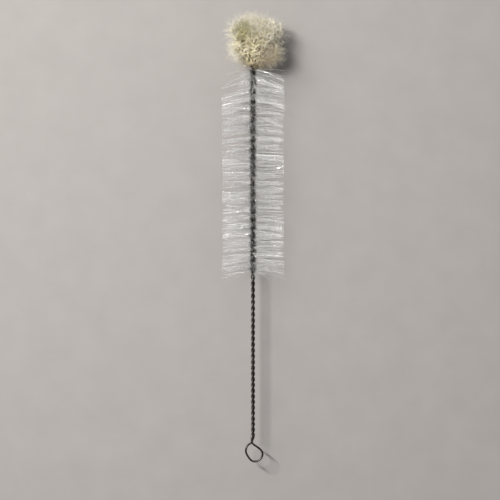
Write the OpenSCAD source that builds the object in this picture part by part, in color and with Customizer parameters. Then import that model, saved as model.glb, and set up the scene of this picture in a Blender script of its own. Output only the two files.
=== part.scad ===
// Test tube brush.
// One wire is folded into a hanging loop and its two legs are twisted together
// with a left-hand lay. The twist grips a double spiral of clear filaments and,
// at the tip, a tuft of cotton yarn. The brush lies on its filaments with the
// wire along Y, the loop flat and the tuft towards +Y. All sizes in millimetres.

/* [Brush] */
// Overall length, from the end of the loop to the top of the tuft
overall_l = 230; // [229:1:240]
// Diameter across the filaments
brush_d = 32; // [28:1:36]
// Depth of the flat that the filaments rest on
rest_flat = 0.5; // [0.2:0.1:0.8]
// Distance from the end of the loop to the first filament
brush_from = 97; // [90:1:110]
// Distance from the end of the loop to the last filament
brush_to = 201; // [180:1:202]

/* [Wire] */
// Diameter of the wire
wire_d = 1; // [0.86:0.02:1.04]
// Length of one turn next to the loop
pitch_loop = 5.55; // [5:0.05:7]
// Length of one turn at the upper end of the bare handle
pitch_handle = 6.5; // [5.6:0.05:7.4]
// Length of one turn where the filaments begin
pitch_brush = 8.05; // [7.6:0.05:10]
// Length of one turn at the tip
pitch_tip = 11.8; // [9:0.1:13]
// Gap that the filaments keep open between the two legs
grip_gap = 0.7; // [0.4:0.02:0.8]

/* [Filaments] */
// Diameter of one filament
filament_d = 0.2; // [0.14:0.01:0.22]
// Distance along the wire from one filament to the next
filament_step = 0.26; // [0.24:0.01:0.6]

/* [Tuft] */
// Diameter of the tuft
tuft_d = 25.4; // [22:0.2:27]
// Length of the tuft along the wire
tuft_l = 27.4; // [24:0.2:28]
// How far the tuft leans to the side of the wire
tuft_lean = 1.8; // [0:0.1:2.4]

/* [Hidden] */

axis_h = brush_d / 2 - rest_flat; // height of the wire's axis
end_y = -overall_l / 2;           // where the loop ends
sides = 8;                        // sides of the swept wire
rings = 8;                        // rings to each turn of the twist

cross_s = 10.4;                   // where the legs cross above the loop
twist_s = 14;                     // where they first lie side by side
handle_s = brush_from - 1;        // upper end of the bare handle
grip_s = brush_from + 4;          // where the filaments have opened the twist
wire_end = overall_l - 6;         // the cut ends, inside the tuft
tight = 0.03;                     // half the gap between bare legs
yarn_gap = 0.9;                   // gap that the yarn keeps open

// ---- twist of the two legs -------------------------------------------------
function ease(t) = let (u = min(max(t, 0), 1)) u * u * (3 - 2 * u);

// turns made below s on a stretch a..b whose rate goes evenly from na to nb
function ramp(s, a, b, na, nb) =
    let (u = min(max(s, a), b) - a) na * u + (nb - na) * u * u / (2 * (b - a));

// turns from the crossing above the loop to s
function turns(s) =
    ramp(s, cross_s, twist_s, 0.25 / (twist_s - cross_s), 0.25 / (twist_s - cross_s))
    + ramp(s, twist_s, handle_s, 1 / pitch_loop, 1 / pitch_handle)
    + ramp(s, handle_s, grip_s, 1 / pitch_handle, 1 / pitch_brush)
    + ramp(s, grip_s, overall_l, 1 / pitch_brush, 1 / pitch_tip);

// local length of one turn
function pitch(s) = 0.4 / (turns(s + 0.2) - turns(s - 0.2));

// the first leg passes in front (+Z) at the crossing and goes to -X as s grows
function phase(s) = 90 + 360 * turns(s);

// distance of each leg's centre from the axis
function leg_r(s) =
    wire_d / 2 + tight
    + 0.02 * (1 - ease((s - cross_s) / 4))
    + (grip_gap / 2 - tight) * ease((s - brush_from + 4) / 4)
    + (yarn_gap - grip_gap) / 2 * ease((s - brush_to + 1) / 4);

// the twist stands a little to the side just above the loop
function side(s) = -0.55 * (1 - ease((s - cross_s) / 4.2));

// centre of leg k (0 or 1) at s
function leg(k, s) =
    let (a = phase(s) + 180 * k)
    [side(s) + leg_r(s) * cos(a), end_y + s, axis_h + leg_r(s) * sin(a)];

// stations up the twist, a fixed number to each turn
stations = [for (s = cross_s; s < wire_end - 0.3; s = s + pitch(max(s, twist_s)) / rings) s];

// ---- loop: sideways, distance from the loop's end, height above the axis -----
loop_pts = [
    [0.05, 9.5, 0.48], [1.05, 8.7, 0.33], [2.3, 7.85, 0.15], [3.55, 6.85, 0.05],
    [4.43, 5.85, 0], [4.84, 4.8, 0], [4.82, 3.65, 0], [4.38, 2.5, 0],
    [3.6, 1.57, 0], [2.6, 0.88, 0], [1.4, 0.52, 0], [0.15, 0.58, 0],
    [-1.1, 1.27, 0], [-2.05, 2.35, 0], [-2.9, 3.65, 0], [-3.53, 5, 0],
    [-3.62, 6.4, 0], [-3.24, 7.75, -0.1], [-2.5, 8.85, -0.33], [-1.45, 9.6, -0.52]
];
function loop_pt(p) = [p[0], end_y + p[1], axis_h + p[2]];

// smooth curve through the loop's points, from one leg's crossing to the other's
knots = concat(
    [leg(0, cross_s + 1.2), leg(0, cross_s)],
    [for (p = loop_pts) loop_pt(p)],
    [leg(1, cross_s), leg(1, cross_s + 1.2)]);
function curve(a, b, c, d, t) =
    0.5 * (2 * b + (c - a) * t + (2 * a - 5 * b + 4 * c - d) * t * t
           + (3 * b - a - 3 * c + d) * t * t * t);
loop_path = [
    for (i = [1 : len(knots) - 3]) for (t = [0, 0.5])
        curve(knots[i - 1], knots[i], knots[i + 1], knots[i + 2], t)
];

// the whole wire: down the first leg, round the loop and up the second leg
path = concat(
    [leg(0, wire_end)],
    [for (i = [len(stations) - 1 : -1 : 1]) leg(0, stations[i])],
    loop_path,
    [for (s = stations) leg(1, s)],
    [leg(1, wire_end)]);

// ---- sweep -------------------------------------------------------------------
function unit(v) = v / norm(v);
function heading(i) =
    unit(path[min(i + 1, len(path) - 1)] - path[max(i - 1, 0)]);
function square_to(v, t) = unit(v - (v * t) * t);

// a normal carried along the path without twisting about it
normals = [
    for (i = 0, n = square_to([1, 0, 0.3], heading(0)); i < len(path);
         i = i + 1, n = i < len(path) ? square_to(n, heading(i)) : n) n
];

module sweep(r) {
    n = len(path);
    points = [
        for (i = [0 : n - 1])
            let (b = cross(heading(i), normals[i]))
            for (k = [0 : sides - 1])
                path[i] + r * (cos(360 * k / sides) * normals[i]
                               + sin(360 * k / sides) * b)
    ];
    walls = [
        for (i = [0 : n - 2]) for (k = [0 : sides - 1])
            let (a = i * sides + k, b = i * sides + (k + 1) % sides)
            each [[a, a + sides, b], [b, a + sides, b + sides]]
    ];
    polyhedron(points, concat(
        walls,
        [[for (k = [0 : sides - 1]) k]],
        [[for (k = [sides - 1 : -1 : 0]) (n - 1) * sides + k]]), convexity = 10);
}

// ---- the pieces ----------------------------------------------------------------
// One wire, folded at the loop, with its legs twisted together.
// The section has eight sides, set so that it is wire_d across on average.
module wire() {
    color([0.42, 0.42, 0.43]) sweep(wire_d / (1 + cos(180 / sides)));
}

// One filament across the wire at s. It is cut off level where it would reach
// below the surface that the brush lies on.
module filament(s) {
    dir = (phase(s) + 90) % 180;                  // the end that points up
    down = abs(sin(dir));
    floor_l = (axis_h - filament_d / 2 * abs(cos(dir))) / max(down, 0.01);
    low = min(brush_d / 2, floor_l);
    translate([0, end_y + s, axis_h])
        rotate([0, 90 - dir, 0])
            translate([0, 0, -low])
                cylinder(d = filament_d, h = low + brush_d / 2, $fn = 16);
}

// The filaments, side by side along the wire and turning with its twist.
module filaments() {
    color([0.86, 0.88, 0.9, 0.6])
        for (s = [brush_from : filament_step : min(brush_to, overall_l - tuft_l - 0.6)])
            filament(s);
}

// The tuft, an oval ball with a hole round the wire's two ends.
module cotton_tuft() {
    hole_r = wire_d + yarn_gap / 2 + 0.35;
    color([0.86, 0.82, 0.68])
        difference() {
            translate([tuft_lean, end_y + overall_l - tuft_l / 2, axis_h])
                rotate([90, 0, 0])
                    rotate_extrude($fn = 72)
                        polygon([for (a = [-90 : 7.5 : 90])
                            [max(tuft_d / 2 * cos(a), 0), tuft_l / 2 * sin(a)]]);
            translate([0, end_y + overall_l - tuft_l - 1, axis_h])
                rotate([-90, 0, 0])
                    cylinder(r = hole_r, h = tuft_l + 1 - 6 + 0.8, $fn = 48);
        }
}

wire();
filaments();
cotton_tuft();
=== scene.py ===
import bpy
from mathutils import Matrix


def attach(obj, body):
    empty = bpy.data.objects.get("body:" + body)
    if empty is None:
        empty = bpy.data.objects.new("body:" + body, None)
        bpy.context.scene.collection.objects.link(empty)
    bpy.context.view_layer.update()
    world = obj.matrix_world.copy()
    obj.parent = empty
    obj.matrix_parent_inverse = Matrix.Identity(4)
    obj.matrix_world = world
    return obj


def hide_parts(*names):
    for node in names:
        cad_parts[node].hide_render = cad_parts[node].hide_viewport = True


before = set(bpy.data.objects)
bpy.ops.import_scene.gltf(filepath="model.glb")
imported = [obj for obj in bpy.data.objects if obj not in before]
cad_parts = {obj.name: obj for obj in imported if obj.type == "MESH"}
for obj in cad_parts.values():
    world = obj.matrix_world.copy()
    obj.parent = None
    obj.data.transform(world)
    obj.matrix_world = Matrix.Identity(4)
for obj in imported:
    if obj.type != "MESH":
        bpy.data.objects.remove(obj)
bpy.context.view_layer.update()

import math

import bpy
import numpy as np
from mathutils import Vector, noise as mnoise

# Everything below is worked out in millimetres, in a frame whose origin is on the
# wire's axis at the end of the loop: x across, s along the wire, z up. It is put
# into the row frame, in metres, when a mesh is made.
MM = 0.001
OVERALL, BRUSH_D, FLAT = 230.0, 32.0, 0.5
AXIS_H = BRUSH_D / 2 - FLAT
BRUSH_FROM, BRUSH_TO = 97.0, 201.0
WIRE_D, GRIP, YARN, TIGHT = 1.0, 0.7, 0.9, 0.03
P_LOOP, P_HANDLE, P_BRUSH, P_TIP = 5.55, 6.5, 8.05, 11.8
CROSS_S, TWIST_S, HANDLE_S, GRIP_S = 10.4, 14.0, BRUSH_FROM - 1, BRUSH_FROM + 4
WIRE_END = OVERALL - 6


def place(p):
    """Points (x, s, z) in mm as row-frame points in metres."""
    p = np.asarray(p, float)
    return (p + [0.0, -OVERALL / 2, AXIS_H]) * MM


# ------------------------------------------------------------------ the twist
def ease(t):
    u = np.clip(t, 0, 1)
    return u * u * (3 - 2 * u)


def ramp(s, a, b, na, nb):
    u = np.clip(s, a, b) - a
    return na * u + (nb - na) * u * u / (2 * (b - a))


def turns(s):
    q = 0.25 / (TWIST_S - CROSS_S)
    return (ramp(s, CROSS_S, TWIST_S, q, q)
            + ramp(s, TWIST_S, HANDLE_S, 1 / P_LOOP, 1 / P_HANDLE)
            + ramp(s, HANDLE_S, GRIP_S, 1 / P_HANDLE, 1 / P_BRUSH)
            + ramp(s, GRIP_S, OVERALL, 1 / P_BRUSH, 1 / P_TIP))


def phase(s):
    return math.pi / 2 + 2 * math.pi * turns(s)


def leg_r(s):
    return (WIRE_D / 2 + TIGHT + 0.02 * (1 - ease((s - CROSS_S) / 4))
            + (GRIP / 2 - TIGHT) * ease((s - BRUSH_FROM + 4) / 4)
            + (YARN - GRIP) / 2 * ease((s - BRUSH_TO + 1) / 4))


def leg(k, s):
    s = np.asarray(s, float)
    a = phase(s) + math.pi * k
    side = -0.55 * (1 - ease((s - CROSS_S) / 4.2))
    return np.stack([side + leg_r(s) * np.cos(a), s, leg_r(s) * np.sin(a)], -1)


LOOP = [(0.05, 9.5, 0.48), (1.05, 8.7, 0.33), (2.3, 7.85, 0.15), (3.55, 6.85, 0.05),
        (4.43, 5.85, 0), (4.84, 4.8, 0), (4.82, 3.65, 0), (4.38, 2.5, 0),
        (3.6, 1.57, 0), (2.6, 0.88, 0), (1.4, 0.52, 0), (0.15, 0.58, 0),
        (-1.1, 1.27, 0), (-2.05, 2.35, 0), (-2.9, 3.65, 0), (-3.53, 5, 0),
        (-3.62, 6.4, 0), (-3.24, 7.75, -0.1), (-2.5, 8.85, -0.33), (-1.45, 9.6, -0.52)]


def wire_path():
    knots = np.array([leg(0, CROSS_S + 1.2), leg(0, CROSS_S), *LOOP,
                      leg(1, CROSS_S), leg(1, CROSS_S + 1.2)])
    loop = []
    for i in range(1, len(knots) - 2):
        a, b, c, d = knots[i - 1:i + 3]
        for t in np.arange(8) / 8:
            loop.append(0.5 * (2 * b + (c - a) * t + (2 * a - 5 * b + 4 * c - d) * t * t
                               + (3 * b - a - 3 * c + d) * t ** 3))
    s = [CROSS_S]
    while s[-1] < WIRE_END - 0.2:
        here = max(s[-1], TWIST_S)
        s.append(s[-1] + 0.4 / (turns(here + 0.2) - turns(here - 0.2)) / 22)
    s[-1] = WIRE_END
    s = np.array(s)
    return np.concatenate([leg(0, s[:0:-1]), loop, leg(1, s)])


# ------------------------------------------------------------------ mesh making
def lift(line, low, soft):
    """Bends what would come nearer to the surface than low so that it lies along it."""
    gap = np.maximum((line[..., 2] + AXIS_H - low) / soft, -60)
    line[..., 2] = low - AXIS_H + soft * np.logaddexp(0, gap)
    return line


def unit(v):
    return v / np.maximum(np.linalg.norm(v, axis=-1, keepdims=True), 1e-12)


def tubes(lines, radii, sides, start=None):
    """Closed tubes along lines (F, M, 3) with radii (F, M). Returns points and faces."""
    lines = np.asarray(lines, float)
    count, steps = lines.shape[:2]
    head = np.empty_like(lines)
    head[:, 1:-1] = lines[:, 2:] - lines[:, :-2]
    head[:, 0], head[:, -1] = lines[:, 1] - lines[:, 0], lines[:, -1] - lines[:, -2]
    head = unit(head)
    first = np.where(np.abs(head[:, 0, 1:2]) < 0.8, [[0.0, 1.0, 0.0]], [[1.0, 0.0, 0.0]])
    n = unit(first - (first * head[:, 0]).sum(-1, keepdims=True) * head[:, 0])
    normal = np.empty_like(lines)
    for i in range(steps):
        n = unit(n - (n * head[:, i]).sum(-1, keepdims=True) * head[:, i])
        normal[:, i] = n
    other = np.cross(head, normal)
    a = 2 * math.pi * np.arange(sides) / sides
    if start is not None:
        a = a[None, None] + np.asarray(start)[:, None, None]
    else:
        a = np.broadcast_to(a, (1, 1, sides))
    ring = (np.cos(a)[..., None] * normal[:, :, None] + np.sin(a)[..., None] * other[:, :, None])
    pts = lines[:, :, None] + np.asarray(radii)[:, :, None, None] * ring
    base = (np.arange(count) * steps * sides)[:, None, None]
    row = (np.arange(steps - 1) * sides)[None, :, None]
    k = np.arange(sides)[None, None, :]
    k2 = (k + 1) % sides
    quads = np.stack([base + row + k, base + row + k2,
                      base + row + sides + k2, base + row + sides + k], -1).reshape(-1, 4)
    ends0 = (base[:, 0] + np.arange(sides - 1, -1, -1)[None])
    ends1 = (base[:, 0] + (steps - 1) * sides + np.arange(sides)[None])
    return pts.reshape(-1, 3), quads, np.concatenate([ends0, ends1])


def add_mesh(name, points, *face_sets, smooth=True):
    """A mesh object from points in mm and arrays of faces."""
    mesh = bpy.data.meshes.new(name)
    points = place(points)
    loops = np.concatenate([f.ravel() for f in face_sets]).astype(np.int32)
    sizes = np.concatenate([np.full(len(f), f.shape[1]) for f in face_sets]).astype(np.int32)
    starts = np.concatenate([[0], np.cumsum(sizes)[:-1]]).astype(np.int32)
    mesh.vertices.add(len(points))
    mesh.vertices.foreach_set("co", points.astype(np.float32).ravel())
    mesh.loops.add(len(loops))
    mesh.loops.foreach_set("vertex_index", loops)
    mesh.polygons.add(len(sizes))
    mesh.polygons.foreach_set("loop_start", starts)
    mesh.polygons.foreach_set("loop_total", sizes)
    mesh.update(calc_edges=True)
    mesh.validate()
    mesh.polygons.foreach_set("use_smooth", np.full(len(mesh.polygons), smooth))
    obj = bpy.data.objects.new(name, mesh)
    bpy.context.scene.collection.objects.link(obj)
    return obj


def flat_ends(obj, steps, sides):
    """Keeps the shading of each tube's two ends apart from its side's."""
    mesh = obj.data
    v = np.empty(len(mesh.edges) * 2, np.int32)
    mesh.edges.foreach_get("vertices", v)
    ring = v.reshape(-1, 2) // sides
    at = ring % steps
    sharp = (ring[:, 0] == ring[:, 1]) & ((at[:, 0] == 0) | (at[:, 0] == steps - 1))
    made = mesh.attributes.new("sharp_edge", "BOOLEAN", "EDGE")
    made.data.foreach_set("value", sharp)


# ------------------------------------------------------------------ materials
def material(name):
    m = bpy.data.materials.new(name)
    m.use_nodes = True
    t = m.node_tree
    t.nodes.clear()
    return m, t.nodes, t.links


def node(nodes, kind, **sets):
    n = nodes.new(kind)
    for k, v in sets.items():
        if k in n.inputs:
            n.inputs[k].default_value = v
        else:
            setattr(n, k, v)
    return n


def noise(nodes, links, coords, scale, detail=3.0, rough=0.55, stretch=None):
    n = node(nodes, "ShaderNodeTexNoise")
    n.inputs["Scale"].default_value = scale
    n.inputs["Detail"].default_value = detail
    n.inputs["Roughness"].default_value = rough
    if stretch:
        m = node(nodes, "ShaderNodeMapping")
        m.inputs["Scale"].default_value = stretch
        links.new(coords, m.inputs["Vector"])
        coords = m.outputs["Vector"]
    links.new(coords, n.inputs["Vector"])
    return n.outputs["Fac"]


def ramp_node(nodes, links, fac, stops):
    r = node(nodes, "ShaderNodeValToRGB")
    el = r.color_ramp.elements
    while len(el) < len(stops):
        el.new(0.5)
    for e, (p, c) in zip(el, stops):
        e.position, e.color = p, (*c, 1.0)
    links.new(fac, r.inputs["Fac"])
    return r.outputs["Color"]


def value_range(nodes, links, fac, lo, hi, a=0.3, b=0.7):
    r = node(nodes, "ShaderNodeMapRange")
    r.inputs["From Min"].default_value = a
    r.inputs["From Max"].default_value = b
    r.inputs["To Min"].default_value = lo
    r.inputs["To Max"].default_value = hi
    links.new(fac, r.inputs["Value"])
    return r.outputs["Result"]


def wire_material():
    m, nodes, links = material("galvanised_wire")
    out = node(nodes, "ShaderNodeOutputMaterial")
    p = node(nodes, "ShaderNodeBsdfPrincipled")
    p.inputs["Metallic"].default_value = 1.0
    p.inputs["Specular Tint"].default_value = (0.12, 0.12, 0.12, 1.0)
    co = node(nodes, "ShaderNodeTexCoord").outputs["Object"]
    patches = noise(nodes, links, co, 900.0, 4.0, 0.6)
    links.new(ramp_node(nodes, links, patches, [(0.3, (0.023, 0.020, 0.019)),
                                                (0.52, (0.056, 0.050, 0.048)),
                                                (0.72, (0.17, 0.158, 0.152))]),
              p.inputs["Base Color"])
    grain = noise(nodes, links, co, 3200.0, 2.0, 0.5)
    links.new(value_range(nodes, links, grain, 0.26, 0.46), p.inputs["Roughness"])
    b = node(nodes, "ShaderNodeBump")
    b.inputs["Strength"].default_value = 0.25
    b.inputs["Distance"].default_value = 0.00004
    links.new(noise(nodes, links, co, 2400.0, 3.0, 0.6), b.inputs["Height"])
    links.new(b.outputs["Normal"], p.inputs["Normal"])
    links.new(p.outputs["BSDF"], out.inputs["Surface"])
    return m


def nylon_material(name, through, rough, alpha=1.0, shade=0.95, low=0.92):
    """Clear nylon, with painted shade where the legs hold it: its colour darkens towards the wire's axis.
    through is the share of light that it lets pass, and shade what its shadow does."""
    m, nodes, links = material(name)
    out = node(nodes, "ShaderNodeOutputMaterial")
    p = node(nodes, "ShaderNodeBsdfPrincipled")
    p.inputs["IOR"].default_value = 1.53
    p.inputs["Specular IOR Level"].default_value = 1.0
    p.inputs["Transmission Weight"].default_value = through
    p.inputs["Alpha"].default_value = alpha
    p.inputs["Coat Roughness"].default_value = 0.05
    p.inputs["Coat IOR"].default_value = 2.5
    co = node(nodes, "ShaderNodeTexCoord").outputs["Object"]
    # distance from the wire's axis, roughened a little
    flat = node(nodes, "ShaderNodeMapping")
    flat.inputs["Location"].default_value = (0.0, 0.0, -AXIS_H * MM)
    flat.inputs["Scale"].default_value = (1.0, 0.0, 1.0)
    links.new(co, flat.inputs["Vector"])
    far = node(nodes, "ShaderNodeVectorMath", operation="LENGTH")
    links.new(flat.outputs["Vector"], far.inputs[0])
    blur = node(nodes, "ShaderNodeMath", operation="MULTIPLY_ADD")
    links.new(noise(nodes, links, co, 2500.0, 2.0, 0.5), blur.inputs[0])
    blur.inputs[1].default_value = 0.0011
    links.new(far.outputs["Value"], blur.inputs[2])
    where = value_range(nodes, links, blur.outputs["Value"], 0.0, 1.0, 0.0013, 0.0030)
    # painted shade: the colour is dark at the wire's axis, where the legs grip the roots, and clear further
    # out
    body = ramp_node(nodes, links, where, [(0.0, (0.13, 0.125, 0.12)), (0.25, (0.25, 0.245, 0.24)),
                                           (0.55, (0.62, 0.615, 0.605)), (1.0, (0.98, 0.98, 0.975))])
    milky = ramp_node(nodes, links, noise(nodes, links, co, 160.0, 2.0, 0.5),
                      [(0.3, (low, low, low * 1.005)), (0.7, (1.0, 1.0, 1.0))])
    both = node(nodes, "ShaderNodeMix", data_type="RGBA", blend_type="MULTIPLY")
    both.inputs[0].default_value = 1.0
    links.new(body, both.inputs[6])
    links.new(milky, both.inputs[7])
    links.new(both.outputs[2], p.inputs["Base Color"])
    fine = noise(nodes, links, co, 1800.0, 2.0, 0.5)
    links.new(value_range(nodes, links, fine, *rough), p.inputs["Roughness"])
    # scuffed and clear stretches take turns, so that no glint runs the whole length
    scuff = noise(nodes, links, co, 190.0, 2.0, 0.5)
    links.new(value_range(nodes, links, scuff, 1.0, 0.05, 0.47, 0.57), p.inputs["Coat Weight"])
    clear = node(nodes, "ShaderNodeBsdfTransparent")
    clear.inputs["Color"].default_value = (shade, shade, shade, 1.0)
    path = node(nodes, "ShaderNodeLightPath")
    mix = node(nodes, "ShaderNodeMixShader")
    links.new(path.outputs["Is Shadow Ray"], mix.inputs["Fac"])
    links.new(p.outputs["BSDF"], mix.inputs[1])
    links.new(clear.outputs["BSDF"], mix.inputs[2])
    links.new(mix.outputs["Shader"], out.inputs["Surface"])
    return m


def cotton_material(name, dark, mid, light, alpha=1.0):
    """Unbleached cotton with painted shade: browner where it meets the wire and on the lower right, and a
    greenish patch that is partly its own tone and partly painted shade.
    """
    m, nodes, links = material(name)
    out = node(nodes, "ShaderNodeOutputMaterial")
    p = node(nodes, "ShaderNodeBsdfPrincipled")
    p.inputs["Roughness"].default_value = 0.9
    p.inputs["Alpha"].default_value = alpha
    p.inputs["Specular IOR Level"].default_value = 0.25
    p.inputs["Sheen Weight"].default_value = 0.35
    p.inputs["Sheen Roughness"].default_value = 0.4
    p.inputs["Sheen Tint"].default_value = (1.0, 0.95, 0.82, 1.0)
    co = node(nodes, "ShaderNodeTexCoord").outputs["Object"]
    blotch = noise(nodes, links, co, 330.0, 4.0, 0.6)
    colour = ramp_node(nodes, links, blotch, [(0.3, dark), (0.5, mid), (0.68, light)])
    wander = noise(nodes, links, co, 260.0, 2.0, 0.5)
    # each of these paints shade into the colour round its middle
    for at, near, far, tint in PAINTED_SHADES:
        gap = node(nodes, "ShaderNodeVectorMath", operation="DISTANCE")
        gap.inputs[1].default_value = at
        links.new(co, gap.inputs[0])
        add = node(nodes, "ShaderNodeMath", operation="MULTIPLY_ADD")
        links.new(wander, add.inputs[0])
        add.inputs[1].default_value = 0.006
        links.new(gap.outputs["Value"], add.inputs[2])
        shade_patch = node(nodes, "ShaderNodeMix", data_type="RGBA", blend_type="MULTIPLY")
        links.new(value_range(nodes, links, add.outputs["Value"], 1.0, 0.0, near + 0.003, far + 0.003),
                  shade_patch.inputs[0])
        links.new(colour, shade_patch.inputs[6])
        shade_patch.inputs[7].default_value = (*tint, 1.0)
        colour = shade_patch.outputs[2]
    links.new(colour, p.inputs["Base Color"])
    b = node(nodes, "ShaderNodeBump")
    b.inputs["Strength"].default_value = 0.3
    b.inputs["Distance"].default_value = 0.00005
    links.new(noise(nodes, links, co, 5200.0, 2.0, 0.6), b.inputs["Height"])
    links.new(b.outputs["Normal"], p.inputs["Normal"])
    links.new(p.outputs["BSDF"], out.inputs["Surface"])
    return m


# ------------------------------------------------------------------ the wire
path = wire_path()
pts, quads, ends = tubes(path[None], np.full((1, len(path)), WIRE_D / 2), 14)
wire = add_mesh("twisted_wire", pts, quads, ends)
flat_ends(wire, len(path), 14)
wire.data.materials.append(wire_material())
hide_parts("wire")
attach(wire, "root")


# ------------------------------------------------------------------ the bristles
def drift(s, step, rng):
    """A smooth random wave along the brush, about 1 high, that changes over step mm."""
    knots = rng.normal(0, 1, int((BRUSH_TO - BRUSH_FROM) / step) + 4)
    x = (s - BRUSH_FROM) / step + 1
    i = x.astype(int)
    return knots[i] + (knots[i + 1] - knots[i]) * ease(x - i)


SHARE = np.array([0.0, 0.09, 0.2, 0.36, 0.55, 0.77, 0.99, 1.0])     # of a bristle's reach


def bristles(count, seed):
    """Filaments laid across between the legs. They fan out round the wire's twist in
    small bunches, and sag towards the handle at both ends of the brush."""
    rng = np.random.default_rng(seed)
    i = np.arange(count)
    s0 = BRUSH_FROM + (BRUSH_TO - BRUSH_FROM) * (i + rng.uniform(0.1, 0.9, count)) / count
    s0 = np.clip(s0 + 0.25 * drift(s0, 3.5, rng), BRUSH_FROM, BRUSH_TO)
    ph = phase(s0)
    layer = (i % 3) - 1.0
    e = np.stack([np.cos(ph), 0 * ph, np.sin(ph)], -1)                 # towards a leg
    d = np.stack([-np.sin(ph), 0 * ph, np.cos(ph)], -1)                # along the gap
    y = np.array([0.0, 1.0, 0.0])
    halves = []
    # neighbours are gripped in bunches of a few, which keep together
    bunch = np.cumsum(rng.random(count) < 0.2)

    def spread(apart, within):
        return rng.normal(0, apart, count)[bunch] + rng.normal(0, within, count)

    sag = 2.9 * np.clip((s0 - 150) / 51, 0, 1) ** 1.3 + 2.4 * np.clip((106 - s0) / 9, 0, 1) + 0.3
    for sign in (1.0, -1.0):
        lean = (spread(math.radians(36), math.radians(7)) + sign * layer * math.radians(3)
                + math.radians(6) * drift(s0, 2.5, rng))
        # use has left a part of them standing anyhow
        loose = rng.random(count) < np.where(sign * d[:, 0] > 0, 0.5, 0.36)
        lean = np.where(loose, rng.uniform(-1.25, 1.25, count), lean)
        # and some bunches stand straight, tipped a little up to the right
        face = np.sign(sign * d[:, :1] + 1e-6) * np.array([0.9817, 0.0, 0.1903])
        tip = np.arctan2((face * e).sum(1), sign * (face * d).sum(1))
        proud = (rng.random(count)[bunch] < 0.07) & (np.abs(tip) < 1.0)
        proud &= np.arange(count) - np.searchsorted(bunch, bunch) < 5
        lean = np.where(proud, tip + spread(math.radians(1.3), math.radians(0.8)), lean)
        tilt = spread(math.radians(3.0), math.radians(1.9)) - math.radians(3) * ease((s0 - 176) / 20)
        # the last ones droop, each by its own amount
        tilt = tilt - math.radians(17) * rng.random(count) * ease((s0 - 193) / 7)
        wild = rng.random(count) < 0.07
        tilt = np.where(wild, tilt + rng.normal(0, math.radians(9), count), tilt)
        # a third of the bunches are still straight
        bent = np.where((rng.random(count)[bunch] < 0.3) | proud, 0.05, 1.0)
        bend_l = bent * spread(1.1, 0.35)
        bend_y = bent * spread(0.9, 0.3) - sag
        # a loose bunch falls across the wire where the bristles begin
        first = (np.abs(s0 - 100.3) < 0.9) & (sign * d[:, 2] > 0.4)
        lean = np.where(first, rng.normal(0, math.radians(34), count), lean)
        lean = np.clip(lean, -math.radians(72), math.radians(72))
        reach = BRUSH_D / 2 - np.abs(rng.normal(0, 0.3, count)) + 0.5 * (sag > 1.5) * rng.random(count)
        short = rng.random(count) < 0.05 + 0.4 * ease((s0 - 195) / 5)
        reach = np.where(short, reach * rng.uniform(0.6, 0.97, count) ** (1 + 2 * ease((s0 - 195) / 5)), reach)
        # most of the left ones are short beside the tuft
        over = sign * d[:, 0] * np.cos(lean) + e[:, 0] * np.sin(lean)
        worn = (over < -0.1) & (rng.random(count) < 0.92 * ease((s0 - 187.5) / 4))
        reach = np.where(worn, rng.uniform(3.0, 9.0, count), reach)
        r = SHARE[None] * reach[:, None]
        out = np.clip(r - 1.1, 0, None)                                # beyond the wire's grip
        q = (out / (BRUSH_D / 2)) ** 2
        p = (sign * d[:, None] * r[..., None]
             + e[:, None] * (layer * 0.21)[:, None, None]
             + e[:, None] * (np.tan(lean)[:, None] * out + bend_l[:, None] * q)[..., None]
             + y * (np.tan(tilt)[:, None] * out + bend_y[:, None] * q)[..., None])
        # every tip is trimmed at the same distance from the wire
        far = np.hypot(p[..., 0], p[..., 2])
        p[..., [0, 2]] *= (r / np.maximum(far, 1e-9) * (SHARE > 0.1) + (SHARE <= 0.1))[..., None]
        p[..., 1] += s0[:, None]
        halves.append(p)
    line = np.concatenate([halves[1][:, :0:-1], halves[0]], axis=1)
    # what would reach below the surface bends along it
    return lift(line, 0.12, 0.12)


lines = bristles(1560, 47)
steps = lines.shape[1]
pts, quads, ends = tubes(lines, np.full(lines.shape[:2], 0.085), 4)
nylon = add_mesh("nylon_bristles", pts, quads, ends)
flat_ends(nylon, steps, 4)
for m in (nylon_material("clear_nylon", 0.76, (0.04, 0.09), 0.85, 0.977),
          nylon_material("nylon_tip", 0.6, (0.3, 0.5), 1.0, 0.95, 0.85)):
    nylon.data.materials.append(m)
# the cut tips are whitened
part = np.zeros(steps - 1, np.int32)
part[[0, -1]] = 1
part = np.concatenate([np.tile(np.repeat(part, 4), len(lines)), np.ones(len(ends), np.int32)])
nylon.data.polygons.foreach_set("material_index", part)
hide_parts("filaments")
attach(nylon, "root")


# ------------------------------------------------------------------ the cotton tuft
TUFT = np.array([1.8, 215.2, 0.0])
TUFT_R = 12.4
# how far the dense part reaches, going round from +X towards the tip, every 30 degrees
ROUND = np.array([12.2, 12.6, 12.3, 12.2, 12.9, 13.6, 12.6, 13.2, 12.9, 12.4, 12.9, 13.4])


def on_sphere(count, rng):
    """Directions spread evenly over a sphere, a little jittered."""
    i = np.arange(count) + 0.5
    z = 1 - 2 * i / count
    a = math.pi * (1 + 5 ** 0.5) * i
    v = np.stack([np.sqrt(1 - z * z) * np.cos(a), np.sqrt(1 - z * z) * np.sin(a), z], -1)
    return unit(v + rng.normal(0, 0.5 / math.sqrt(count / 12.57), (count, 3)))


def anyway(shape, rng):
    return unit(rng.normal(size=(*shape, 3)))


# dents in the tuft: the direction, the width and the depth of each
DENTS = [((-0.56, 0.36, 0.74), 0.28, 0.3), ((-0.04, -0.05, 1.0), 0.17, 0.2),
         ((0.78, -0.21, 0.59), 0.26, 0.24), ((-0.12, -0.82, 0.56), 0.2, 0.2),
         ((0.42, -0.66, 0.62), 0.25, 0.16), ((0.1, 0.4, -0.9), 0.3, 0.2),
         ((-0.8, -0.3, -0.5), 0.25, 0.22), ((0.6, 0.3, -0.75), 0.22, 0.22)]


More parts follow.
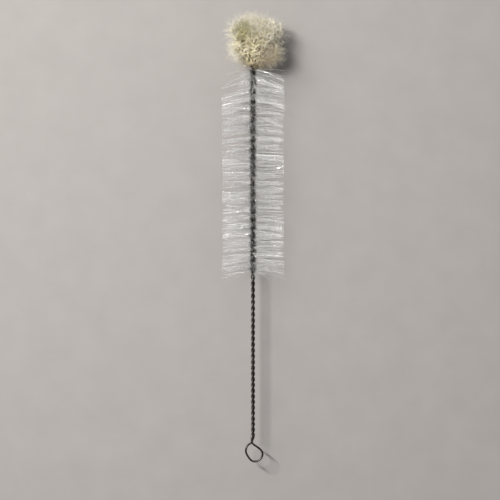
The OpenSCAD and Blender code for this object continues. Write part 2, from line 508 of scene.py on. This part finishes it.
def dent(u):
    d = 0
    for at, wide, deep in DENTS:
        at = np.array(at) / np.linalg.norm(at)
        gap = np.arccos(np.clip((u * at).sum(-1), -1, 1))
        d = np.maximum(d, deep * np.exp(-(gap / wide) ** 2))
    return d


LUMPS = np.random.default_rng(77)
LUMP_K = unit(LUMPS.normal(size=(10, 3))) * LUMPS.uniform(5.0, 10.0, (10, 1))
LUMP_P = LUMPS.uniform(0, 6.28, 10)


def reach(u):
    """Radius of the dense part in the direction u."""
    lumps = np.sin(u @ LUMP_K.T + LUMP_P).sum(-1) / math.sqrt(5)
    a = np.arctan2(u[..., 1], u[..., 0]) % (2 * math.pi)
    flat = np.interp(a, np.arange(13) * math.pi / 6, np.append(ROUND, ROUND[0]))
    w = np.clip(np.hypot(u[..., 0], u[..., 1]), 0, 1) ** 2
    wave = (np.sin(3.1 * u[..., 0] + 4.3 * u[..., 1] + 1.0) * np.sin(3.7 * u[..., 2] + 2.2 * u[..., 0])
            + 0.6 * np.sin(6.3 * u[..., 1] - 5.1 * u[..., 2] + 0.4))
    return (flat * w + TUFT_R * (1 - w) + 0.5 * wave + 0.7 * lumps) * (1 - dent(u))


def curly(u):
    """How tightly the yarn curls in the direction u: 1 towards the handle and to the
    left of it, 0 at the far side, where the ends stand straight and open."""
    wave = np.sin(4.1 * u[..., 0] - 3.0 * u[..., 1] + 2.3) * np.sin(3.3 * u[..., 2] + 1.1)
    return ease(0.52 - 0.5 * u[..., 0] - 0.75 * u[..., 1] + 0.22 * wave)


def frames(line):
    """Two directions across a curve (..., M, 3), carried along it without twisting."""
    head = np.empty_like(line)
    head[..., 1:-1, :] = line[..., 2:, :] - line[..., :-2, :]
    head[..., 0, :] = line[..., 1, :] - line[..., 0, :]
    head[..., -1, :] = line[..., -1, :] - line[..., -2, :]
    head = unit(head)
    n = unit(np.cross(head[..., 0, :], np.array([0.31, 0.42, 0.85])))
    normal = np.empty_like(line)
    for i in range(line.shape[-2]):
        h = head[..., i, :]
        n = unit(n - (n * h).sum(-1, keepdims=True) * h)
        normal[..., i, :] = n
    return normal, np.cross(head, normal)


def between(c, tight, loose):
    return loose + (tight - loose) * c


def strands(groups, each, fibres, seed, steps=13, radius=0.08, size=1.0, within=0.13, thick=0.5):
    """Cut lengths of yarn that come out from between the wire's legs in clumps. Some
    bend over near their ends and curl, and others stand out and open into fibres."""
    rng = np.random.default_rng(seed)
    t = np.linspace(0, 1, steps)
    clump = np.repeat(np.arange(groups), each)
    count = len(clump)
    u = on_sphere(groups, rng)
    c = np.clip(curly(u) + rng.normal(0, 0.12, groups), 0, 1)
    far = (reach(u) * rng.uniform(between(c, 0.9, 0.86), between(c, 1.02, 1.1)) * size)[clump]
    far = far * rng.uniform(0.93, 1.04, count)
    whim = anyway((groups,), rng)[clump]
    u, c = unit(u[clump] + rng.normal(0, within, (count, 3))), c[clump]
    far = np.minimum(far, 13.4 / np.maximum(u[:, 1], 0.05))
    root_s = np.clip(213.2 + 8.0 * u[:, 1] + rng.normal(0, 1.2, count), 204.5, 223.0)
    out = unit(u * [1, 0.1, 1] + rng.normal(0, 0.12, (count, 3)))
    root = np.stack([out[:, 0], root_s, out[:, 2]], -1)
    tip = TUFT + u * far[:, None]
    bend = rng.uniform(0.5, 1.3, count) * between(c, 4.2, 1.5)
    side = unit(np.cross(u, whim + (0.6 + 1.2 * c)[:, None] * anyway((count,), rng))) * bend[:, None]
    p1 = root + out * rng.uniform(3.0, 6.0, count)[:, None]
    p2 = tip + side * 0.45 + u * (rng.uniform(-0.3, 1.4, count) * c - 3.0 * (1 - c))[:, None]
    p3 = tip - side * 0.75 - u * (rng.uniform(0.2, 1.6, count) * c)[:, None]
    tt = t[None, :, None]
    a, b, d, e = (p[:, None] for p in (root, p1, p2, p3))
    guide = a * (1 - tt) ** 3 + 3 * b * tt * (1 - tt) ** 2 + 3 * d * tt * tt * (1 - tt) + e * tt ** 3
    nor, bi = frames(guide)
    turn = (rng.uniform(0.8, 2.0, count) * rng.choice([-1, 1], count))[:, None] * 2 * math.pi * t + \
        rng.uniform(0, 6.28, count)[:, None]
    amp = (rng.uniform(0.4, 1.2, count) * between(c, 1.35, 0.6))[:, None] * t ** 1.2
    guide = guide + (amp * np.cos(turn))[..., None] * nor + (amp * np.sin(turn))[..., None] * bi
    nor, bi = frames(guide)
    # the fibres lie round the strand's middle with its own twist
    cc = c[:, None, None]
    rho = np.sqrt(rng.uniform(0, 1, (count, fibres, 1)))
    ang = rng.uniform(0, 6.28, (count, fibres, 1)) + \
        2 * math.pi * rng.uniform(0.8, 1.6, (count, 1, 1)) * between(cc, 1.0, 0.45) * t
    rho = (rho * thick * rng.uniform(0.75, 1.25, (count, 1, 1))
           * (1 + between(cc, 0.2, 0.85) * ease((t - 0.6) / 0.4)))
    line = (guide[:, None] + (rho * np.cos(ang))[..., None] * nor[:, None]
            + (rho * np.sin(ang))[..., None] * bi[:, None])
    w1, w2 = anyway((count, fibres, 1), rng), anyway((count, fibres, 1), rng)
    k = rng.uniform(2.0, 4.5, (count, fibres, 1)) * 2 * math.pi * t + rng.uniform(0, 6.28, (count, fibres, 1))
    fr = between(cc, 0.12, 0.16) * (0.35 + t ** 2 * 1.6)
    line = line + (fr * np.sin(k))[..., None] * w1 + (fr * np.cos(1.3 * k))[..., None] * w2
    # some fibres stop short of the cut end
    stop = rng.uniform(0, 1, (count, fibres, 1, 1)) * (1.04 - between(cc, 0.82, 0.68))[..., None]
    grow = np.minimum(t[None, None, :, None] * (1.04 - stop), 1) * (steps - 1)
    lo = np.minimum(grow.astype(int), steps - 2)
    line = (np.take_along_axis(line, lo, 2) * (1 - grow + lo)
            + np.take_along_axis(line, lo + 1, 2) * (grow - lo))
    line = line.reshape(count * fibres, steps, 3)
    rad = radius * rng.uniform(0.75, 1.25, (count * fibres, 1)) * (1 - 0.5 * t ** 4)
    return line, rad


# where longer locks stand off the tuft: the direction, the length and the curl of each
LOCKS = [((-0.88, 0.42, 0.25), 4.4, 0.25), ((-0.95, 0.27, 0.2), 3.6, 0.3), ((-0.93, 0.05, 0.3), 2.6, 0.4),
         ((-0.72, 0.68, 0.2), 3.0, 0.35), ((-0.6, 0.75, 0.35), 2.2, 0.6), ((0.02, 0.98, 0.3), 2.4, 1.6),
         ((0.36, 0.9, 0.2), 1.8, 0.5), ((0.66, 0.74, 0.2), 2.8, 0.25), ((0.78, 0.6, 0.3), 2.6, 0.3),
         ((0.9, 0.4, 0.3), 2.2, 0.25), ((0.98, 0.12, 0.2), 1.8, 0.5), ((0.9, -0.3, 0.3), 1.5, 0.5),
         ((-0.75, -0.6, 0.3), 1.3, 0.6), ((0.45, -0.85, 0.25), 1.2, 0.5), ((-0.3, -0.9, 0.3), 1.0, 0.5),
         ((0.86, 0.5, 0.1), 3.4, 0.2), ((0.95, 0.25, 0.15), 2.8, 0.3), ((0.55, 0.62, 0.55), 2.6, 0.3),
         ((0.75, 0.35, 0.55), 2.6, 0.3), ((0.93, -0.12, 0.35), 2.4, 0.4), ((0.8, -0.45, 0.4), 2.2, 0.4)]


def locks(count, fibres, seed, steps=12, radius=0.034):
    """Wisps of a few fibres that keep together as they stand off the tuft."""
    rng = np.random.default_rng(seed)
    t = np.linspace(0, 1, steps)
    u = np.concatenate([unit(np.array([v[0] for v in LOCKS])), on_sphere(count, rng)])
    height = np.concatenate([[v[1] for v in LOCKS], 0.4 + np.minimum(rng.gamma(1.6, 0.6, count), 2.0)])
    curl = np.concatenate([[v[2] for v in LOCKS], rng.gamma(2.0, 0.3, count)])
    n = len(u)
    height = np.minimum(height, 15.4 / np.maximum(u[:, 1], 0.05) - reach(u))
    side = unit(np.cross(u, anyway((n,), rng)))
    other = np.cross(u, side)
    a = rng.uniform(0, 6.28, (n, 1)) + 2 * math.pi * curl[:, None] * t * rng.choice([-1, 1], (n, 1))
    amp = np.minimum(0.35 + 0.16 * height, 0.8)[:, None] * t ** 0.7
    up = (height + 2.2)[:, None] * t
    line = ((TUFT + u * (reach(u) - 2.2)[:, None])[:, None] + up[..., None] * u[:, None]
            + (amp * np.cos(a) + rng.uniform(-0.5, 0.5, (n, 1)) * up)[..., None] * side[:, None]
            + (amp * np.sin(a))[..., None] * other[:, None])
    nor, bi = frames(line)
    ang = rng.uniform(0, 6.28, (n, fibres, 1)) + 2.5 * t
    rho = (np.sqrt(rng.uniform(0, 1, (n, fibres, 1))) * 0.4 * (1.1 - 0.5 * t + 0.6 * t ** 3)
           * rng.uniform(0.6, 1.4, (n, 1, 1)))
    line = (line[:, None] + (rho * np.cos(ang))[..., None] * nor[:, None]
            + (rho * np.sin(ang))[..., None] * bi[:, None])
    k = rng.uniform(1.0, 2.6, (n, fibres, 1)) * 2 * math.pi * t + rng.uniform(0, 6.28, (n, fibres, 1))
    line = line + ((0.05 + 0.3 * t ** 2) * np.sin(k))[..., None] * anyway((n, fibres, 1), rng)
    # the fibres end at different lengths
    grow = np.minimum(t * rng.uniform(0.55, 1.0, (n, fibres, 1)), 1)[..., None] * (steps - 1)
    lo = np.minimum(grow.astype(int), steps - 2)
    line = (np.take_along_axis(line, lo, 2) * (1 - grow + lo)
            + np.take_along_axis(line, lo + 1, 2) * (grow - lo))
    line = line.reshape(n * fibres, steps, 3)
    rad = radius * rng.uniform(0.7, 1.25, (n * fibres, 1)) * (1 - 0.35 * t)
    return line, rad


# strands that lie along the tuft and then leave it: from and to, and how far they stand off
STREAMERS = [((0.62, -0.12, 0.76), (0.46, 0.86, 0.3), 1.0), ((0.8, -0.1, 0.58), (0.6, 0.76, 0.25), 1.6),
             ((0.48, 0.1, 0.86), (0.26, 0.9, 0.4), 0.6), ((0.9, -0.2, 0.4), (0.8, 0.6, 0.2), 1.8),
             ((0.95, -0.3, 0.2), (0.95, 0.3, 0.15), 1.4), ((-0.8, 0.0, 0.55), (-0.9, 0.42, 0.2), 0.9),
             ((0.35, -0.35, 0.86), (0.62, 0.12, 0.78), 0.3), ((0.7, -0.55, 0.45), (0.98, -0.05, 0.2), 1.0)]


def streamers(fibres, seed, steps=12, radius=0.05):
    """Combed out strands that lie on the tuft and stand off it at their ends."""
    rng = np.random.default_rng(seed)
    t = np.linspace(0, 1, steps)[None, :, None]
    start, end = (np.array([v[k] for v in STREAMERS])[:, None] for k in (0, 1))
    off = np.array([v[2] for v in STREAMERS])[:, None]
    n = len(STREAMERS)
    side = np.cross(start, end)
    u = unit(start * (1 - t) + end * t
             + 0.07 * np.sin(5 * t + rng.uniform(0, 6.28, (n, 1, 1))) * unit(side))
    far = reach(u) * (0.94 + 0.08 * t[..., 0]) + off * t[..., 0] ** 2
    line = TUFT + u * far[..., None]
    nor, bi = frames(line)
    ang = rng.uniform(0, 6.28, (n, fibres, 1)) + 2.0 * t[:, :, 0]
    rho = np.sqrt(rng.uniform(0, 1, (n, fibres, 1))) * 0.42 * (0.8 + 0.9 * t[:, :, 0] ** 2)
    line = (line[:, None] + (rho * np.cos(ang))[..., None] * nor[:, None]
            + (rho * np.sin(ang))[..., None] * bi[:, None])
    k = rng.uniform(2.0, 4.0, (n, fibres, 1)) * 2 * math.pi * t[:, :, 0] + rng.uniform(0, 6.28, (n, fibres, 1))
    line = line + ((0.05 + 0.15 * t[:, :, 0]) * np.sin(k))[..., None] * anyway((n, fibres, 1), rng)
    line = line.reshape(n * fibres, steps, 3)
    return line, radius * rng.uniform(0.75, 1.25, (n * fibres, 1)) * (1 - 0.3 * t[0, :, 0])


def collar(count, fibres, seed, steps=9, radius=0.075):
    """Short curled ends that lie round the wire where it goes into the tuft."""
    rng = np.random.default_rng(seed)
    t = np.linspace(0, 1, steps)
    a = 2 * math.pi * (np.arange(count) * 0.382 + rng.uniform(-0.06, 0.06, count))
    out = np.stack([np.cos(a), 0 * a, np.sin(a)], -1)
    across = np.stack([-np.sin(a), 0 * a, np.cos(a)], -1)
    root = np.stack([0 * a, 203.6 + 4.2 * (np.arange(count) + 0.5) / count, 0 * a], -1) + out * 0.5
    far = rng.uniform(1.9, 3.6, count)
    down = rng.uniform(-1.6, 1.4, count)
    swing = rng.uniform(-1.7, 1.7, count)
    q = t[None, :]
    line = (root[:, None] + (far[:, None] * np.sin(1.9 * q))[..., None] * out[:, None]
            + (swing[:, None] * q ** 1.3)[..., None] * across[:, None])
    line[..., 1] += down[:, None] * q ** 2 + 0.5 * np.sin(5 * q + a[:, None])
    nor, bi = frames(line)
    ang = rng.uniform(0, 6.28, (count, fibres, 1)) + 4 * t
    rho = np.sqrt(rng.uniform(0, 1, (count, fibres, 1))) * 0.42 * (1 + 0.5 * t ** 2)
    line = (line[:, None] + (rho * np.cos(ang))[..., None] * nor[:, None]
            + (rho * np.sin(ang))[..., None] * bi[:, None])
    k = rng.uniform(1.5, 3.0, (count, fibres, 1)) * 2 * math.pi * t + rng.uniform(0, 6.28, (count, fibres, 1))
    line = line + ((0.05 + 0.12 * t) * np.sin(k))[..., None] * anyway((count, fibres, 1), rng)
    line = line.reshape(count * fibres, steps, 3)
    return line, radius * rng.uniform(0.75, 1.25, (count * fibres, 1)) * (1 - 0.4 * t ** 3)


def mat(count, fibres, seed, steps=9, radius=0.075):
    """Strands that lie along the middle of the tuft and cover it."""
    rng = np.random.default_rng(seed)
    u = on_sphere(count, rng)
    v = unit(np.cross(u, anyway((count,), rng)))
    w = np.cross(u, v)
    a = np.linspace(-1, 1, steps)[None, :, None]
    turn = rng.uniform(0.28, 0.6, (count, 1, 1)) * a
    curve = rng.uniform(-0.3, 0.3, (count, 1, 1)) * a ** 2
    wave = 0.05 * np.sin(5 * a + rng.uniform(0, 6.28, (count, 1, 1)))
    line = unit(u[:, None] + np.tan(turn) * v[:, None] + (curve + wave) * w[:, None])
    far = reach(line) * rng.uniform(0.66, 0.78, (count, 1))
    line = TUFT + line * far[..., None]
    nor, bi = frames(line)
    ang = rng.uniform(0, 6.28, (count, fibres, 1)) + rng.uniform(1.5, 4.0, (count, 1, 1)) * a[:, :, 0]
    rho = np.sqrt(rng.uniform(0, 1, (count, fibres, 1))) * rng.uniform(0.3, 0.55, (count, 1, 1))
    line = (line[:, None] + (rho * np.cos(ang))[..., None] * nor[:, None]
            + (rho * np.sin(ang))[..., None] * bi[:, None])
    k = rng.uniform(2.0, 5.0, (count, fibres, 1)) * a[:, :, 0] + rng.uniform(0, 6.28, (count, fibres, 1))
    line = line + 0.12 * np.sin(k)[..., None] * anyway((count, fibres, 1), rng)
    line = line.reshape(count * fibres, steps, 3)
    return line, radius * rng.uniform(0.75, 1.25, (count * fibres, 1)) * np.ones(steps)


def roots(count, fibres, seed, steps=5, radius=0.085):
    """Yarn that is gripped between the legs, from where the bristles end."""
    rng = np.random.default_rng(seed)
    t = np.linspace(-1, 1, steps)
    s0 = 201.5 + 20.0 * ((np.arange(count) + 0.5) / count) ** 1.4
    ph = phase(s0)
    gap = np.stack([-np.sin(ph), 0 * ph, np.cos(ph)], -1)
    wide = np.clip(0.45 + 0.3 * (s0 - 201.5), 0, 1.3) * rng.uniform(0.8, 1.2, count)
    line = (gap[:, None] * (wide[:, None] * t)[..., None])
    line[..., 1] += s0[:, None] + rng.uniform(-0.2, 0.2, (count, 1)) * t
    across = np.stack([np.cos(ph), 0 * ph, np.sin(ph)], -1)
    off = rng.uniform(-0.3, 0.3, (count, fibres, 1))
    up = rng.uniform(-0.28, 0.28, (count, fibres, 1))
    line = line[:, None] + off[..., None] * across[:, None, None] * (1 + 0.5 * t[:, None] ** 2)
    line[..., 1] += up
    line = line.reshape(count * fibres, steps, 3)
    return line, radius * rng.uniform(0.8, 1.2, (count * fibres, 1)) * np.ones(steps)


# where the tuft has teased out into down: the direction, the width and the share
DOWNY = [((-0.08, 0.75, 0.65), 0.45, 0.42), ((0.6, -0.7, 0.35), 0.4, 0.16),
         ((0.45, 0.3, 0.8), 0.35, 0.12), ((-0.85, -0.35, 0.2), 0.35, 0.06), ((0.1, 0.5, -0.8), 0.6, 0.24)]
# where the longest down hangs out
WISPY = [((0.72, -0.66, 0.2), 0.42, 0.45), ((-0.72, -0.62, 0.15), 0.4, 0.27), ((-0.75, 0.6, 0.15), 0.35, 0.28)]


def fuzz(count, seed, steps=7, stand=2.4, radius=0.035, downy=None):
    """Single fibres that stand off the tuft."""
    rng = np.random.default_rng(seed)
    t = np.linspace(0, 1, steps)
    if downy:
        u = []
        for at, wide, share in downy:
            at = np.array(at) / np.linalg.norm(at)
            u.append(unit(at + wide * rng.normal(0, 0.6, (round(count * share), 3))))
        u = np.concatenate(u)
        count = len(u)
    else:
        u = on_sphere(count, rng)
        u = u[rng.random(count) > 0.75 * curly(u)]
        count = len(u)
    side = unit(np.cross(u, anyway((count,), rng)))
    height = stand * rng.gamma(2.2, 0.42, count)
    height = np.minimum(height, 1.9 * stand)
    height = np.minimum(height, 14.9 / np.maximum(u[:, 1], 0.05) - reach(u))
    start = TUFT + u * (reach(u) - rng.uniform(1.2, 2.6, count))[:, None]
    lean = rng.uniform(-1.0, 1.0, count) * 1.4
    up = (t * 1.0)[None] * (height + 1.8)[:, None]
    line = (start[:, None] + up[..., None] * u[:, None]
            + (lean[:, None] * up * (0.5 + 0.5 * t))[..., None] * side[:, None])
    w1, w2 = anyway((count, 1), rng), anyway((count, 1), rng)
    k = rng.uniform(0.6, 1.6, (count, 1)) * 2 * math.pi * t + rng.uniform(0, 6.28, (count, 1))
    amp = 0.5 * t ** 0.8
    line = line + (amp * np.sin(k))[..., None] * w1 + (amp * np.cos(1.3 * k))[..., None] * w2
    rad = radius * rng.uniform(0.7, 1.3, (count, 1)) * (1 - 0.4 * t)
    return line, rad


# painted shade in the cotton: the middle, the radii where each begins and ends to fade, the tint. The first is
# painted shade at the base where the wire goes in, the second painted shade on the lower right, the third a
# greenish patch at the upper left, partly the yarn's own tone and partly painted shade of a hollow
PAINTED_SHADES = [(tuple(place((0.5, 200.5, 2.0))), 0.003, 0.0115, (0.68, 0.61, 0.50)),
          (tuple(place((10.5, 206.5, 6.0))), 0.003, 0.009, (0.79, 0.73, 0.64)),
          (tuple(place((-6.6, 220.0, 8.5))), 0.0035, 0.0075, (0.56, 0.56, 0.38))]
cotton = cotton_material("cotton", (0.62, 0.55, 0.35), (0.89, 0.825, 0.60), (0.97, 0.93, 0.77))
# the next two are darker copies of the cotton, painted shade: the darker for the middle ball and the yarn
# between the legs, the other for the strands lying on the ball
painted_shade_dark = cotton_material("cotton_painted_shade_dark", (0.22, 0.185, 0.09), (0.35, 0.30, 0.165), (0.50, 0.44, 0.27))
painted_shade_mid = cotton_material("cotton_painted_shade_mid", (0.42, 0.365, 0.215), (0.60, 0.54, 0.355), (0.75, 0.69, 0.50))
fluff = cotton_material("cotton_fluff", (0.76, 0.715, 0.56), (0.84, 0.80, 0.66), (0.89, 0.86, 0.74))
down = cotton_material("cotton_down", (0.80, 0.755, 0.60), (0.88, 0.84, 0.71), (0.92, 0.89, 0.79), 0.6)

parts = [
    ("cotton_strands_a", strands(190, 1, 10, 5, thick=0.4), cotton),
    ("cotton_strands_b", strands(42, 4, 10, 6, thick=0.38), cotton),
    ("cotton_strands_c", strands(130, 1, 10, 12, size=0.85, thick=0.44), cotton),
    # these strands are coloured with painted shade
    ("cotton_mat", mat(260, 8, 15), painted_shade_mid),
    ("cotton_collar", collar(30, 12, 21), cotton),
    # the yarn between the legs is coloured with painted shade
    ("cotton_roots", roots(60, 5, 22), painted_shade_dark),
    ("cotton_locks", locks(60, 12, 31), fluff),
    ("cotton_fluff_a", fuzz(1500, 8, stand=2.3, radius=0.05), down),
    ("cotton_fluff_b", fuzz(2200, 9, stand=1.6, radius=0.05, downy=DOWNY), down),
    ("cotton_fluff_c", fuzz(1100, 10, stand=2.3, radius=0.045, downy=WISPY), down),
    ("cotton_streamers", streamers(14, 32), fluff),
]
for name, (line, rad), finish in parts:
    pts, quads, ends = tubes(lift(line, 0.25, 0.2), rad, 3)
    piece = add_mesh(name, pts, quads, ends)
    piece.data.materials.append(finish)
    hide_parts("cotton_tuft")
    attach(piece, "root")

# the middle of the tuft, a lumpy closed ball
bpy.ops.mesh.primitive_ico_sphere_add(subdivisions=6, radius=1.0)
core = bpy.context.object
core.name = core.data.name = "cotton_core"
at = np.empty(len(core.data.vertices) * 3, np.float32)
core.data.vertices.foreach_get("co", at)
u = unit(at.reshape(-1, 3).astype(float))
lump = np.array([mnoise.fractal(Vector(v) * 3.4 + Vector((7.0, 2.0, 5.0)), 0.6, 2.1, 4) for v in u])
fine = np.array([mnoise.noise(Vector(v) * 11.0 + Vector((1.0, 3.0, 2.0))) for v in u])
r = reach(u) * (0.57 + 0.1 * lump + 0.04 * np.abs(fine))
core.data.vertices.foreach_set("co", place(TUFT + u * r[:, None]).astype(np.float32).ravel())
core.data.update()
core.data.polygons.foreach_set("use_smooth", np.ones(len(core.data.polygons), bool))
# the ball's dark colour is painted shade for the inside of the tuft
core.data.materials.append(painted_shade_dark)
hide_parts("cotton_tuft")
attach(core, "root")


# ------------------------------------------------------------------ floor, lights, camera
mesh = bpy.data.meshes.new("floor")
mesh.from_pydata([(-1.5, -1.5, 0), (1.5, -1.5, 0), (1.5, 1.5, 0), (-1.5, 1.5, 0)], [], [(0, 1, 2, 3)])
floor = bpy.data.objects.new("floor", mesh)
bpy.context.scene.collection.objects.link(floor)
m, nodes, links = material("pale_floor")
out = node(nodes, "ShaderNodeOutputMaterial")
p = node(nodes, "ShaderNodeBsdfPrincipled")
p.inputs["Roughness"].default_value = 0.85
co = node(nodes, "ShaderNodeTexCoord").outputs["Object"]
links.new(ramp_node(nodes, links, noise(nodes, links, co, 60.0, 3.0),
                    [(0.3, (0.295, 0.279, 0.267)), (0.7, (0.313, 0.296, 0.284))]), p.inputs["Base Color"])
links.new(p.outputs["BSDF"], out.inputs["Surface"])
mesh.materials.append(m)

world = bpy.data.worlds.new("studio")
world.use_nodes = True
world.node_tree.nodes["Background"].inputs["Color"].default_value = (0.97, 0.975, 1.0, 1)
world.node_tree.nodes["Background"].inputs["Strength"].default_value = 0.37
bpy.context.scene.world = world


def area(name, at, look, size, power, colour):
    data = bpy.data.lights.new(name, "AREA")
    data.shape = "RECTANGLE"
    data.size, data.size_y = size
    data.energy = power
    data.color = colour
    obj = bpy.data.objects.new(name, data)
    obj.location = at
    obj.rotation_euler = (Vector(look) - Vector(at)).to_track_quat("-Z", "Y").to_euler()
    bpy.context.scene.collection.objects.link(obj)
    return obj


area("key", (-0.46, 0.46, 0.60), (0, 0.02, 0), (0.46, 0.46), 3.65, (1.0, 0.975, 0.94))
area("spark", (-0.32, 0.22, 0.80), (0, 0.02, 0), (0.026, 0.30), 7.6, (1.0, 0.985, 0.96))

cam_data = bpy.data.cameras.new("camera")
cam = bpy.data.objects.new("camera", cam_data)
bpy.context.scene.collection.objects.link(cam)
DIST = 0.95
cam_data.sensor_fit = "HORIZONTAL"
cam_data.sensor_width = 36.0
cam_data.lens = 36.0 * DIST / 0.25585
cam_data.clip_start, cam_data.clip_end = 0.01, 10.0
cam.location = (-0.001535, (108.7 - OVERALL / 2) * MM, AXIS_H * MM + DIST)
cam.rotation_euler = (0.0, 0.0, 0.0)
bpy.context.scene.camera = cam
bpy.context.scene.view_settings.view_transform = "Standard"
bpy.context.scene.cycles.transparent_max_bounces = 48
bpy.context.scene.cycles.max_bounces = 24
bpy.context.scene.cycles.transmission_bounces = 24
bpy.context.scene.cycles.diffuse_bounces = 10
bpy.context.scene.cycles.caustics_reflective = False
bpy.context.scene.cycles.caustics_refractive = False
